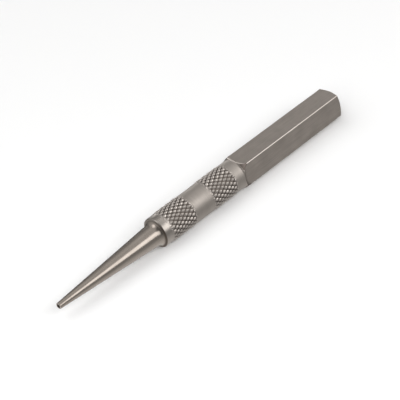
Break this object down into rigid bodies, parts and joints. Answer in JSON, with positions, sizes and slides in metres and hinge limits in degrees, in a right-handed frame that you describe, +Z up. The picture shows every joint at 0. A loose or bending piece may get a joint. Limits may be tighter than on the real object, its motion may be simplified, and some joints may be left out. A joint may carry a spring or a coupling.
{
  "type": "nail set",
  "caption": "Steel nail set with a cupped tapered point, diamond-knurled grip bands and a square shank with a bevelled striking end.",
  "frame": {"origin": "middle of the tool's length, on the surface that its knurled bands rest on", "axes": "+X along the bar from the point to the striking end, +Z up, flats facing Y and Z (each leans 0.18 degrees with the shank's taper)"},
  "size_m": [0.1, 0.0088, 0.0088],
  "materials": {
    "turned_steel": "satin nickel-grey steel with fine turning marks",
    "knurled_steel": "satin nickel-grey steel, rolled diamond knurl with dark grooves",
    "milled_steel": "satin nickel-grey steel, fine lengthwise grain on the flats"
  },
  "bodies": {
    "root": {"cupped_tip": "turned_steel", "tapered_point": "turned_steel", "front_collar": "turned_steel", "front_knurl": "knurled_steel", "grip_band": "turned_steel", "rear_knurl": "knurled_steel", "rear_neck": "turned_steel", "shank_runout": "milled_steel", "square_shank": "milled_steel", "striking_end": "milled_steel"}
  },
  "joints": []
}
